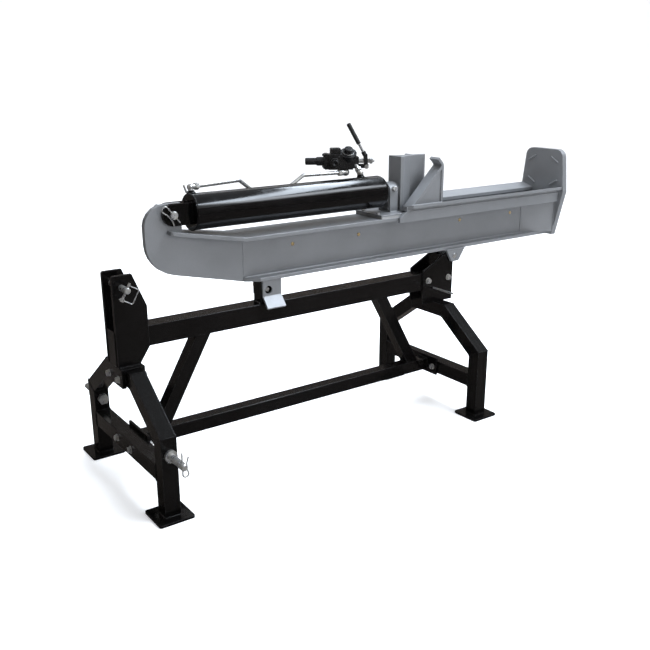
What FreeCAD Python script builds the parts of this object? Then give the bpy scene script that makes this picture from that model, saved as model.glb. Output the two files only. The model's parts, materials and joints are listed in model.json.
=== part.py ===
import FreeCAD, Part
import math
import os

# Tractor-mounted log splitter. Millimetres, +Z up, +X from the hitch end towards the foot plate,
# +Y to the far side. The part is drawn with X = 0 on the hitch-end face of the legs and is moved at
# the end so that the origin lies on the floor under the middle of its bounding box.

V = FreeCAD.Vector
X_AXIS, Y_AXIS, Z_AXIS = V(1, 0, 0), V(0, 1, 0), V(0, 0, 1)
FIT = 0.05            # radial clearance of every pin in its hole
BOLT = 12.0           # frame bolts
HOLE_R = BOLT / 2 + FIT
CLIP_WIRE_R = 2.0     # wire of the hairpin clips
GAP = 0.5             # clearance between faces that slide past each other

# stand
TUBE = 50.0           # square tube of legs, raked tubes, apex and cross tubes
WALL = 4.0            # wall of every square tube
HALF_WIDTH = 292.0    # centre plane to the outer face of a leg
FRAME_X = (0.0, 1283.0)   # hitch-end face of the front and rear A-frames
KNEE_Z = 262.5
APEX_Z = 402.5
APEX_HALF = 98.0
CROSS_Z = (114.0, 164.0)
PAD, PAD_T = 114.0, 8.0
TOP_RAIL_Z = (457.0, 522.0)
TOP_RAIL_W = 64.0
LOW_RAIL_Z = (120.0, 165.0)
LOW_RAIL_W = 45.0
RAIL_END_X = 1370.0
BRACE_W = 45.0
BRACE_LEAN = 0.565    # run of a brace along X per unit of height
BRACE_TOP_X = (289.0, 1032.0)

# hitch mast
MAST_X = (-13.0, 63.0)
MAST_HALF_Y = 33.0
MAST_T = 12.0
MAST_BASE_Z = 408.5
MAST_BOX_TOP = 520.0
MAST_TOP = 695.0
TOP_PIN = (15.0, 658.0)   # X and Z of the top-link pin
TOP_PIN_R = 9.5
LOW_PIN = (27.0, 206.0)   # X and Z of the lower hitch pins
LOW_PIN_R = 11.1
LOW_PIN_END = 388.0
HITCH_CLIP_Y = 372.0
LOW_PIN_SEAT_Y = 368.0   # the pin is slimmer outboard of the seat, so the link eye starts easily
LOW_PIN_TIP_R = 10.6

# pivot and latch
PIVOT = (1373.0, 578.0)
PIVOT_R = 10.0
PIVOT_PLATE_Y = (32.0, 40.0)
LUG_Y = (40.5, 50.5)
POST_X = (507.0, 557.0)
POST_HALF_Y = 24.0
LATCH_X = (508.0, 580.0)
LATCH_Y = (28.0, 36.0)
LOCK_PIN = (530.0, 569.0)
LOCK_PIN_R = 8.0
STAY = (1278.0, 460.0)    # X and Z of the side peg on the near pivot plate
EAR_BOLT_X, EAR_BOLT_Z = (1248.0, 1353.0), 493.0
SADDLE_BOLT_Y, SADDLE_BOLT_Z = (-37.5, 37.5), 371.0
CROSS_BOLT_Y, CROSS_BOLT_Z = (-54.0, 54.0), 139.0
END_PLATE_T = 8.0         # plates that bolt the lower rail to the cross tubes

# beam
BEAM_BOTTOM, BEAM_TOP = 604.0, 764.0
FLANGE_T = 12.0
TOP_FLANGE_HALF, LOW_FLANGE_HALF = 76.5, 44.0
WEB_HALF = 10.0
JOINT_X = 450.0       # butt seam between tongue plate and web
FOOT_X, FOOT_T = 1919.0, 26.0
FLANGE_BEND_X = 430.0
FLANGE_TIP = (190.0, 803.0)
BAR_Y = (76.5, 88.5)
BAR_X0 = 1057.0
KEEPER_IN, KEEPER_OUT = (51.0, 791.0), (105.0, 807.0)   # Y and Z of the keeper's upper edges
KEEPER_T = 12.0
GUSSET_X = 1787.0     # where the plates that spread the web to the foot plate begin

# cylinder
AXIS_Z = 851.0
BARREL_R, BORE_R = 57.15, 50.8
CAP_X, BARREL_X, GLAND_X, BARREL_END = 271.0, 275.0, 985.0, 1036.0
CAP_DEPTH = 24.0      # length of the base cap's spigot inside the barrel
PORT_X = (287.5, 955.0)
PORT_LEAN = 16.0      # degrees the port bosses lean from the vertical to the far side
BOSS_R, BOSS_TOP = 12.0, 65.0
ROD_R = 25.4
PISTON_X = (300.0, 340.0)
BASE_PIN = (205.5, AXIS_Z)
BASE_PIN_R = 12.7
EAR_Y = (11.0, 24.0)
EAR_R = 34.0
CLIP_Y = 29.0

# slide and wedge
PAD_Z = (764.3, 770.8)
SLIDE_Z = (770.8, 778.0)
SLIDE_X = (981.0, 1256.0)
WEDGE_X = (1100.0, 1166.0, 1231.0, 1246.0)   # back, end of flare, start of bevel, cutting edge
WEDGE_HALF, BLADE_HALF = 34.6, 10.0
WEDGE_TOP = 973.0

# control valve, drawn about its spool axis and then turned and placed
VALVE_AT = V(901.0, 90.0, 960.0)
VALVE_TURN = -30.0
SPOOL_R, LEVER_PIN_R = 8.0, 4.5
LEVER_X, LEVER_Z = 108.0, -20.0   # lever pivot on the valve, along the spool and below its axis
LEVER_UP = V(-0.485, 0, 0.875)    # direction of the lever at rest, in the valve's frame
PIPE_R = 6.35


def box(x0, x1, y0, y1, z0, z1):
    return Part.makeBox(x1 - x0, y1 - y0, z1 - z0, V(x0, y0, z0))


def rod_y(r, x, z, y0, y1):
    return Part.makeCylinder(r, abs(y1 - y0), V(x, y0, z), Y_AXIS * (1 if y1 > y0 else -1))


def rod_x(r, x0, x1, y, z):
    return Part.makeCylinder(r, x1 - x0, V(x0, y, z), X_AXIS)


def prism(points, direction):
    wire = Part.makePolygon([V(*p) for p in points] + [V(*points[0])])
    return Part.Face(wire).extrude(direction)


def plate_xz(points, y0, y1):
    return prism([(x, y0, z) for x, z in points], V(0, y1 - y0, 0))


def plate_yz(points, x0, x1):
    return prism([(x0, y, z) for y, z in points], V(x1 - x0, 0, 0))


def plate_xy(points, z0, z1):
    return prism([(x, y, z0) for x, y in points], V(0, 0, z1 - z0))


def fuse(shapes):
    first, rest = shapes[0], shapes[1:]
    return first.fuse(rest).removeSplitter() if rest else first


def mirrored(shape):
    return shape.mirror(V(0, 0, 0), Y_AXIS)


def both_sides(shape):
    return [shape, mirrored(shape)]


def hex_prism(across, height, at, direction):
    ring = [V(math.cos(math.radians(60 * i)), math.sin(math.radians(60 * i)), 0) * (across / math.sqrt(3))
            for i in range(7)]
    solid = Part.Face(Part.makePolygon(ring)).extrude(Z_AXIS * height)
    solid.Placement = FreeCAD.Placement(at, FreeCAD.Rotation(Z_AXIS, direction))
    return solid


def bolt(size, at, direction, grip):
    """Head and washer at `at`, shank along `direction`, washer and nut at the far side of the grip."""
    across, nut_t, head_t, washer_t = size * 1.5, size * 0.8, size * 0.63, 2.0
    unit = V(direction).normalize()
    far = at + unit * grip
    return fuse([Part.makeCylinder(size / 2, grip + nut_t + washer_t + 3, at, unit),
                 Part.makeCylinder(size, washer_t, at, -unit),
                 Part.makeCylinder(size, washer_t, far, unit),
                 hex_prism(across, head_t, at - unit * washer_t, -unit),
                 hex_prism(across, nut_t, far + unit * washer_t, unit)])


def path_wire(points, radius):
    """Straight runs joined by arcs of the given radius."""
    edges, start = [], points[0]
    for i in range(1, len(points) - 1):
        a, b = (points[i - 1] - points[i]).normalize(), (points[i + 1] - points[i]).normalize()
        half = a.getAngle(b) / 2
        back = radius / math.tan(half)
        p, q = points[i] + a * back, points[i] + b * back
        centre = points[i] + (a + b).normalize() * (radius / math.sin(half))
        middle = centre + (points[i] - centre).normalize() * radius
        edges.append(Part.LineSegment(start, p).toShape())
        edges.append(Part.Arc(p, middle, q).toShape())
        start = q
    edges.append(Part.LineSegment(start, points[-1]).toShape())
    return Part.Wire(edges)


def swept(points, radius, r):
    wire = path_wire(points, radius)
    run = (points[1] - points[0]).normalize()
    profile = Part.Wire([Part.makeCircle(r, points[0], run)])
    return wire.makePipeShell([profile], True, True)


def r_clip(hole, pull, across, pin_r, grip, reach):
    """Hairpin clip: straight leg through `hole`, sprung leg beside the pin, loop towards `pull`."""
    beside = pin_r + CLIP_WIRE_R + 0.7
    wide, tail = beside + 8, (-24, beside + 6)
    line = [(-grip, 0), (reach, 0), (reach, wide), (14, beside), (-8, beside), tail]
    return swept([hole + pull * u + across * v for u, v in line], 8.5, CLIP_WIRE_R)


def tube_prism(outer, inner, x0, x1, wall):
    """A tube whose side outline lies in the YZ plane: solid outline less the bore outline."""
    return plate_yz(outer, x0, x1).cut(plate_yz(inner, x0 + wall, x1 - wall))


# ---------------------------------------------------------------- stand
RAKE = math.atan2(APEX_Z - KNEE_Z, HALF_WIDTH - APEX_HALF)


def inset(depth):
    """Knee and apex corners of the A-frame outline, moved inwards by depth."""
    knee_drop = depth * math.tan((math.pi / 2 - RAKE) / 2)
    apex_step = depth * math.tan(RAKE / 2)
    return (-(HALF_WIDTH - depth), KNEE_Z - knee_drop), (-(APEX_HALF - apex_step), APEX_Z - depth)


def frame_tubes(x0):
    """Near leg, near raked tube and apex tube of one A-frame."""
    x1 = x0 + TUBE
    (ky, kz), (ay, az) = inset(0)
    (kyi, kzi), (ayi, azi) = inset(TUBE)
    (ky1, kz1), (ay1, az1) = inset(WALL)
    (ky2, kz2), (ay2, az2) = inset(TUBE - WALL)
    leg = tube_prism([(ky, PAD_T), (ky, kz), (kyi, kzi), (kyi, PAD_T)],
                     [(ky1, PAD_T), (ky1, kz1), (ky2, kz2), (ky2, PAD_T)], x0, x1, WALL)
    raked = tube_prism([(ky, kz), (ay, az), (ayi, azi), (kyi, kzi)],
                       [(ky1, kz1), (ay1, az1), (ay2, az2), (ky2, kz2)], x0, x1, WALL)
    apex = tube_prism([(ay, az), (-ay, az), (-ayi, azi), (ayi, azi)],
                      [(ay1, az1), (-ay1, az1), (-ay2, az2), (ay2, az2)], x0, x1, WALL)
    return leg, raked, apex


def build_stand(out):
    legs, raked, apexes, crosses, pads = [], [], [], [], []
    pin_hole = rod_y(LOW_PIN_R + FIT, *LOW_PIN, -300, 300)
    inner = HALF_WIDTH - TUBE
    for x0 in FRAME_X:
        leg, rake, apex = frame_tubes(x0)
        if x0 == FRAME_X[0]:
            leg = leg.cut(pin_hole)
        legs += both_sides(leg)
        raked += both_sides(rake)
        cross = box(x0, x0 + TUBE, -inner, inner, *CROSS_Z).cut(
            box(x0 + WALL, x0 + TUBE - WALL, -inner, inner, CROSS_Z[0] + WALL, CROSS_Z[1] - WALL))
        for y in CROSS_BOLT_Y:
            cross = cross.cut(rod_x(HOLE_R, x0 - 1, x0 + TUBE + 1, y, CROSS_BOLT_Z))
        crosses.append(cross)
        cx, cy = x0 + TUBE / 2, HALF_WIDTH - TUBE / 2
        pad = box(cx - PAD / 2, cx + PAD / 2, -cy - PAD / 2, -cy + PAD / 2, 0, PAD_T)
        corners = [e for e in pad.Edges if abs(e.tangentAt(e.FirstParameter).z) > 0.9]
        pads += both_sides(pad.makeFillet(8, corners))
        if x0 == FRAME_X[0]:
            for y in SADDLE_BOLT_Y:
                apex = apex.cut(rod_x(HOLE_R, -1, TUBE + 1, y, SADDLE_BOLT_Z))
        apexes.append(apex)
    out["legs"], out["raked_tubes"], out["apex_tubes"] = legs, raked, apexes
    out["cross_tubes"], out["foot_pads"] = crosses, pads

    rail_in = TOP_RAIL_W / 2
    top_rail = box(MAST_X[1], RAIL_END_X, -rail_in, rail_in, *TOP_RAIL_Z).cut(
        box(MAST_X[1] + 1, RAIL_END_X - WALL, -rail_in + WALL, rail_in - WALL,
            TOP_RAIL_Z[0] + WALL, TOP_RAIL_Z[1] - WALL))
    for x in EAR_BOLT_X:
        top_rail = top_rail.cut(rod_y(HOLE_R, x, EAR_BOLT_Z, -40, 40))
    out["top_rail"] = [top_rail]

    plate_x = (FRAME_X[0] + TUBE, FRAME_X[1])
    plates = []
    for x0, x1 in ((plate_x[0], plate_x[0] + END_PLATE_T), (plate_x[1] - END_PLATE_T, plate_x[1])):
        p = box(x0, x1, -75, 75, 108, 178)
        for y in CROSS_BOLT_Y:
            p = p.cut(rod_x(HOLE_R, x0 - 1, x1 + 1, y, CROSS_BOLT_Z))
        plates.append(p)
    out["rail_end_plates"] = plates
    half = LOW_RAIL_W / 2
    x0, x1 = plate_x[0] + END_PLATE_T, plate_x[1] - END_PLATE_T
    out["lower_rail"] = [box(x0, x1, -half, half, *LOW_RAIL_Z).cut(
        box(x0, x1, -half + 3, half - 3, LOW_RAIL_Z[0] + 3, LOW_RAIL_Z[1] - 3))]

    braces = []
    rise = TOP_RAIL_Z[0] - LOW_RAIL_Z[1]
    wide = BRACE_W * math.hypot(1, BRACE_LEAN) / 2
    for top_x, lean in zip(BRACE_TOP_X, (-1, 1)):
        foot_x = top_x + lean * rise * BRACE_LEAN

        def outline(w, half_y):
            return plate_xz([(top_x - w, TOP_RAIL_Z[0]), (top_x + w, TOP_RAIL_Z[0]),
                             (foot_x + w, LOW_RAIL_Z[1]), (foot_x - w, LOW_RAIL_Z[1])], -half_y, half_y)
        braces.append(outline(wide, BRACE_W / 2).cut(outline(wide - 3.4, BRACE_W / 2 - 3)))
    out["braces"] = braces

    saddle = box(MAST_X[0], MAST_X[1], -65, 65, 348, MAST_BASE_Z).cut(
        box(-0.4, TUBE + 0.4, -66, 66, 340, APEX_Z + 0.4))
    for y in SADDLE_BOLT_Y:
        saddle = saddle.cut(rod_x(HOLE_R, -20, 80, y, SADDLE_BOLT_Z))
    out["mast_saddle"] = [saddle]
    out["mast_box"] = [box(*MAST_X, -MAST_HALF_Y, MAST_HALF_Y, MAST_BASE_Z, MAST_BOX_TOP).cut(
        box(MAST_X[0] + 6, MAST_X[1] - 6, -MAST_HALF_Y + 6, MAST_HALF_Y - 6, MAST_BASE_Z,
            MAST_BOX_TOP - 6))]
    cheek = plate_xz([(-13, MAST_BASE_Z), (-13, MAST_TOP - 5), (-8, MAST_TOP), (50, MAST_TOP),
                      (92, 591), (92, 461), (57, MAST_BASE_Z)], -MAST_HALF_Y - MAST_T, -MAST_HALF_Y)
    cheek = cheek.cut(rod_y(TOP_PIN_R + FIT, *TOP_PIN, -60, 0))
    rail_cut = box(MAST_X[1], 200, -rail_in, rail_in, *TOP_RAIL_Z)
    out["mast_cheeks"] = [s.cut(rail_cut) for s in both_sides(cheek)]

    px, pz = PIVOT
    ear = plate_xz([(1224, APEX_Z), (1224, 533), (1350, 598), (1376, 590), (1376, APEX_Z)],
                   -PIVOT_PLATE_Y[1], -PIVOT_PLATE_Y[0])
    ear = fuse([ear, rod_y(20, px, pz, -PIVOT_PLATE_Y[1], -PIVOT_PLATE_Y[0])])
    for x, z, r in ((px, pz, PIVOT_R + FIT), (1248, EAR_BOLT_Z, HOLE_R), (1353, EAR_BOLT_Z, HOLE_R),
                    (*STAY, 4 + FIT)):
        ear = ear.cut(rod_y(r, x, z, -60, 0))
    out["pivot_plates"] = both_sides(ear)
    half = LUG_Y[1]
    pivot = rod_y(PIVOT_R, px, pz, -half - 2, half + 18)
    pivot = pivot.makeChamfer(1.5, [e for e in pivot.Edges if e.BoundBox.YMax < -half - 1])
    out["pivot_bolt"] = [fuse([pivot, hex_prism(30, 14, V(px, half + GAP, pz), Y_AXIS)])]

    post = box(*POST_X, -POST_HALF_Y, POST_HALF_Y, TOP_RAIL_Z[1], BEAM_BOTTOM - GAP).cut(
        box(POST_X[0] + 4, POST_X[1] - 4, -POST_HALF_Y + 4, POST_HALF_Y - 4,
            TOP_RAIL_Z[1], BEAM_BOTTOM - GAP - 4))
    out["rest_post"] = [post.cut(rod_y(LOCK_PIN_R + FIT, *LOCK_PIN, -30, 30))]

    pin = fuse([rod_y(LOW_PIN_R, *LOW_PIN, -LOW_PIN_SEAT_Y, -226),
                rod_y(LOW_PIN_TIP_R, *LOW_PIN, -LOW_PIN_END, -LOW_PIN_SEAT_Y),
                rod_y(19, *LOW_PIN, -302, -HALF_WIDTH)])
    edge = [e for e in pin.Edges if abs(e.BoundBox.YMin + LOW_PIN_END) < 0.1 and e.BoundBox.YLength < 0.1]
    pin = pin.makeChamfer(3, edge)
    pin = pin.cut(Part.makeCylinder(2 + FIT, 60, V(LOW_PIN[0], -HITCH_CLIP_Y, LOW_PIN[1] - 30), Z_AXIS))
    out["lower_hitch_pins"] = both_sides(pin)
    nut = hex_prism(32, 16, V(LOW_PIN[0], -HALF_WIDTH + TUBE, LOW_PIN[1]), Y_AXIS).cut(
        rod_y(LOW_PIN_R, *LOW_PIN, -250, -200))
    out["hitch_pin_nuts"] = both_sides(nut)

    bolts = [bolt(BOLT, V(MAST_X[0], y, SADDLE_BOLT_Z), X_AXIS, MAST_X[1] - MAST_X[0]) for y in SADDLE_BOLT_Y]
    bolts += [bolt(BOLT, V(0, y, CROSS_BOLT_Z), X_AXIS, TUBE + END_PLATE_T) for y in CROSS_BOLT_Y]
    bolts += [bolt(BOLT, V(plate_x[1] - END_PLATE_T, y, CROSS_BOLT_Z), X_AXIS, TUBE + END_PLATE_T)
              for y in CROSS_BOLT_Y]
    bolts += [bolt(BOLT, V(x, -PIVOT_PLATE_Y[1], EAR_BOLT_Z), Y_AXIS, 2 * PIVOT_PLATE_Y[1]) for x in EAR_BOLT_X]
    out["frame_bolts"] = bolts
    stay = rod_y(4, *STAY, -148, -PIVOT_PLATE_Y[0])
    out["side_peg"] = [stay.makeFillet(1.5, [e for e in stay.Edges if e.BoundBox.YMax < -147])]


def build_hitch_hardware(out):
    pin_y = -84.0
    lean, side = V(0.498, 0, 0.867), V(0.867, 0, -0.498)
    centre = V(TOP_PIN[0], pin_y, TOP_PIN[1])
    shank_r, wire_r = 4.0, 1.8
    shank = Part.makeCylinder(shank_r, 60, centre - lean * 36, lean)
    collar = Part.makeCylinder(6.5, 10, centre - lean * 36, lean)
    low, high = centre - lean * 31, centre + lean * 16
    eye = Part.makeCylinder(wire_r + FIT, 20, low - side * 10, side)
    pin = rod_y(TOP_PIN_R, *TOP_PIN, pin_y - 12, MAST_HALF_Y + MAST_T + 1)
    pin = pin.makeChamfer(2, [e for e in pin.Edges if e.BoundBox.YMax < pin_y - 11])
    head = rod_y(15, *TOP_PIN, MAST_HALF_Y + MAST_T + 1, MAST_HALF_Y + MAST_T + 11)
    out["top_link_pin"] = [fuse([pin, head]).cut(
        Part.makeCylinder(shank_r + FIT, 40, centre - lean * 20, lean))]
    out["snap_pin"] = [fuse([shank, collar]).cut(eye)]
    out["snap_bail"] = [swept([low - side * 9, low + side * 36, high + side * 36,
                               high + side * (shank_r + 0.5)], 5, wire_r)]
    for name, sign in (("near", -1), ("far", 1)):
        hole = V(LOW_PIN[0], sign * HITCH_CLIP_Y, LOW_PIN[1])
        out["hitch_clip_" + name] = [r_clip(hole, -Z_AXIS, X_AXIS, LOW_PIN_R, 40, 36)]
    shaft = rod_y(LOCK_PIN_R, *LOCK_PIN, -LATCH_Y[0] + GAP, 58)
    shaft = shaft.makeChamfer(1.5, [e for e in shaft.Edges if e.BoundBox.YMax < -LATCH_Y[0] + 1])
    handle = Part.makeCylinder(5, 64, V(LOCK_PIN[0], 58, LOCK_PIN[1] - 32), Z_AXIS)
    handle = handle.makeFillet(2, [e for e in handle.Edges if e.BoundBox.ZLength < 0.1])
    out["lock_pin"] = [fuse([shaft, handle])]


# ---------------------------------------------------------------- beam
def build_beam(out):
    web_top = BEAM_TOP - FLANGE_T
    bend, tip = (FLANGE_BEND_X - 1, web_top), (FLANGE_TIP[0] - 1.9, FLANGE_TIP[1] - FLANGE_T + 0.2)
    slot_x = 250.0        # the flange is slotted for the tongue plate from here to its tip
    slot_z = bend[1] + (bend[0] - slot_x) * (tip[1] - bend[1]) / (bend[0] - tip[0])
    tongue = plate_xz([(JOINT_X, BEAM_BOTTOM), (JOINT_X, web_top), bend, (slot_x, slot_z),
                       (238, slot_z + 19), (238, 885), (195, 885), (168, 882), (147, 874), (131, 860),
                       (120, 843), (115, 824), (115, 765), (118, 742), (125, 722), (138, 702),
                       (155, 684), (178, 670), (204, 661)], -WEB_HALF, WEB_HALF)
    flange = plate_xz([(FOOT_X, web_top), (FOOT_X, BEAM_TOP), (FLANGE_BEND_X, BEAM_TOP), FLANGE_TIP,
                       tip, bend], -TOP_FLANGE_HALF, TOP_FLANGE_HALF)
    w, end = TOP_FLANGE_HALF, FLANGE_TIP[0] - 5
    plan = [(FOOT_X, -w), (FLANGE_BEND_X - 10, -w), (end + 10, -40), (end, -32),
            (end, 32), (end + 10, 40), (FLANGE_BEND_X - 10, w), (FOOT_X, w)]
    flange = flange.common(plate_xy(plan, 700, 850)).cut(tongue)
    tongue = tongue.cut(rod_y(BASE_PIN_R + FIT, *BASE_PIN, -20, 20))
    out["tongue_plate"] = [tongue]
    out["top_flange"] = [flange]

    web = box(JOINT_X, FOOT_X, -WEB_HALF, WEB_HALF, BEAM_BOTTOM + FLANGE_T, BEAM_TOP - FLANGE_T)
    for x in (645, 929, 1432, 1720):
        web = web.cut(rod_y(5.5, x, 707, -20, 20))
    out["beam_web"] = [web]
    w = LOW_FLANGE_HALF
    lower = plate_xy([(JOINT_X, -14), (JOINT_X + 45, -w), (FOOT_X, -w), (FOOT_X, w),
                      (JOINT_X + 45, w), (JOINT_X, 14)], BEAM_BOTTOM, BEAM_BOTTOM + FLANGE_T)
    out["bottom_flange"] = [lower]

    z_bar = 780.0
    bar = plate_xz([(BAR_X0, 745), (BAR_X0, 762), (BAR_X0 + 22, z_bar), (FOOT_X, z_bar), (FOOT_X, 745)],
                   -BAR_Y[1], -BAR_Y[0])
    slope = (KEEPER_OUT[1] - KEEPER_IN[1]) / (KEEPER_OUT[0] - KEEPER_IN[0])
    drop = KEEPER_T * math.hypot(1, slope)
    keeper = plate_yz([(-KEEPER_IN[0], KEEPER_IN[1]), (-KEEPER_OUT[0], KEEPER_OUT[1]),
                       (-KEEPER_OUT[0], KEEPER_OUT[1] - drop), (-KEEPER_IN[0], KEEPER_IN[1] - drop)],
                      BAR_X0 + 30, FOOT_X)
    keeper = keeper.cut(plate_xy([(BAR_X0 + 29, -110), (BAR_X0 + 52, -110), (BAR_X0 + 29, -84)], 700, 850))
    web_fill = plate_yz([(-BAR_Y[0], z_bar), (-BAR_Y[1], z_bar), (-BAR_Y[1], 800), (-BAR_Y[0], 800)],
                        BAR_X0 + 30, FOOT_X)
    bar = fuse([bar, web_fill]).cut(keeper)
    bar = max(bar.Solids, key=lambda s: s.Volume)
    out["guide_bars"] = both_sides(bar)
    out["keeper_plates"] = both_sides(keeper)

    foot = plate_yz([(-70, BEAM_BOTTOM - 2), (-112, 785), (-93, 956), (93, 956), (112, 785),
                     (70, BEAM_BOTTOM - 2)], FOOT_X, FOOT_X + FOOT_T)
    top = [e for e in foot.Edges if abs(e.BoundBox.ZMin - 956) < 0.1 and e.BoundBox.YLength < 0.1]
    foot = foot.makeFillet(34, top)
    rim = [e for e in foot.Edges if e.BoundBox.XMin > FOOT_X + FOOT_T - 0.1]
    out["foot_plate"] = [foot.makeChamfer(3, rim)]
    beads = []
    for y, z, turn in ((60, 915, 1), (-57, 914, -1), (59, 822, -1), (-58, 820, 1)):
        run = V(0, 19 * turn, -11).normalize()
        bead = Part.makeCylinder(4, 38, V(FOOT_X, y, z) - run * 19, run)
        ends = [Part.makeSphere(4, V(FOOT_X, y, z) + run * s) for s in (-19, 19)]
        beads.append(fuse([bead] + ends).common(box(FOOT_X - 10, FOOT_X, -100, 100, 750, 1000)))
    out["grip_beads"] = beads
    gusset = plate_xy([(GUSSET_X, -WEB_HALF), (GUSSET_X + 14, -WEB_HALF), (FOOT_X, -64), (FOOT_X, -74)],
                      BEAM_BOTTOM + FLANGE_T, web_top)
    out["end_gussets"] = both_sides(gusset)

    lug = plate_xz([(1331, BEAM_BOTTOM), (1359, 556), (1396, 556), (1427, BEAM_BOTTOM)],
                   -LUG_Y[1], -LUG_Y[0])
    low = [e for e in lug.Edges if abs(e.BoundBox.ZMax - 556) < 0.1 and e.BoundBox.XLength < 0.1]
    lug = lug.makeFillet(8, low).cut(rod_y(PIVOT_R + FIT, *PIVOT, -60, 0))
    out["pivot_lugs"] = both_sides(lug)

    bend_z, lip_z, lip_out = 548.0, 508.0, 29.0
    y_in, y_out = LATCH_Y
    latch = plate_yz([(-y_in, BEAM_BOTTOM), (-y_out, BEAM_BOTTOM), (-y_out, bend_z),
                      (-y_out - lip_out, lip_z + 5), (-y_out - lip_out + 6, lip_z), (-y_in, bend_z - 3)],
                     *LATCH_X)
    out["latch_plate"] = [latch.cut(rod_y(14, *LOCK_PIN, -60, 0))]

    hook = [V(1251, 0, 795), V(1251, 0, 941), V(1228, 0, 964)]
    spine = path_wire(hook, 24)
    profile = Part.Wire(Part.makePolygon([V(1246, -94, 795), V(1256, -94, 795), V(1256, -48, 795),
                                          V(1246, -48, 795), V(1246, -94, 795)]))
    upright = spine.makePipeShell([profile], True, True)
    slant = plate_xz([(1103, 795), (1117, 795), (1246, 924), (1246, 938)], -94, -48)
    rib = plate_xz([(1117, 795), (1246, 795), (1246, 924)], -90, -80)
    body = fuse([upright, slant, rib]).cut(
        plate_yz([(-KEEPER_IN[0] + 20, KEEPER_IN[1] - slope * 20), (-KEEPER_OUT[0], KEEPER_OUT[1]),
                  (-KEEPER_OUT[0], 700), (-KEEPER_IN[0] + 20, 700)], 1000, 1300))
    out["strippers"] = both_sides(body)


# ---------------------------------------------------------------- cylinder
def port_way():
    lean = math.radians(PORT_LEAN)
    return V(0, math.sin(lean), math.cos(lean))


def build_cylinder(out):
    up = port_way()
    barrel = rod_x(BARREL_R, BARREL_X, GLAND_X + 20, 0, AXIS_Z)
    barrel = barrel.fuse([Part.makeCylinder(BOSS_R, BOSS_TOP, V(x, 0, AXIS_Z), up) for x in PORT_X])
    barrel = barrel.removeSplitter().cut(rod_x(BORE_R, BARREL_X, GLAND_X + 20, 0, AXIS_Z))
    for x in PORT_X:
        barrel = barrel.cut(Part.makeCylinder(7, 100, V(x, 0, AXIS_Z), up))
    out["cylinder_barrel"] = [barrel]

    x, z = BASE_PIN
    cap = rod_x(BARREL_R, CAP_X, BARREL_X, 0, AXIS_Z)
    cap = cap.fuse(rod_x(BORE_R - 0.2, BARREL_X, BARREL_X + CAP_DEPTH, 0, AXIS_Z))
    for side in (-1, 1):
        y0, y1 = sorted((side * EAR_Y[0], side * EAR_Y[1]))
        cap = cap.fuse(box(x, CAP_X, y0, y1, z - EAR_R, z + EAR_R)).fuse(rod_y(EAR_R, x, z, y0, y1))
    cap = cap.removeSplitter().cut(rod_y(BASE_PIN_R + FIT, x, z, -60, 60))
    cap = cap.cut(Part.makeCylinder(7, 60, V(PORT_X[0], 0, AXIS_Z), up))
    out["base_cap"] = [cap.cut(rod_x(7, PORT_X[0], BARREL_X + CAP_DEPTH, 0, AXIS_Z))]

    gland = rod_x(BARREL_R, GLAND_X + 20, BARREL_END, 0, AXIS_Z)
    rim = [e for e in gland.Edges if abs(e.BoundBox.XMin - BARREL_END) < 0.1]
    gland = gland.makeFillet(16, rim)
    gland = gland.fuse(rod_x(BORE_R - 0.2, GLAND_X, GLAND_X + 20, 0, AXIS_Z)).removeSplitter()
    out["rod_gland"] = [gland.cut(rod_x(ROD_R + FIT, GLAND_X - 1, BARREL_END + 1, 0, AXIS_Z))]

    pin_end = 34.0
    pin = rod_y(BASE_PIN_R, x, z, -pin_end, pin_end)
    ends = [e for e in pin.Edges if e.BoundBox.YLength < 0.1]
    pin = pin.makeChamfer(2, ends)
    pull, across = V(-0.632, 0, 0.775), V(-0.775, 0, -0.632)
    for name, y in (("near", -CLIP_Y), ("far", CLIP_Y)):
        pin = pin.cut(Part.makeCylinder(2 + FIT, 60, V(x, y, z) - pull * 30, pull))
        out["base_clip_" + name] = [r_clip(V(x, y, z), pull, across, BASE_PIN_R, 30, 42)]
    out["base_pin"] = [pin]

    nose_r = 12.0         # reduced rod end that carries the piston
    out["piston"] = [rod_x(BORE_R - FIT, *PISTON_X, 0, AXIS_Z).cut(rod_x(nose_r, *PISTON_X, 0, AXIS_Z))]
    out["piston_rod"] = [fuse([rod_x(ROD_R, PISTON_X[1], WEDGE_X[0] - 0.5, 0, AXIS_Z),
                               rod_x(nose_r, *PISTON_X, 0, AXIS_Z)])]


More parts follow.
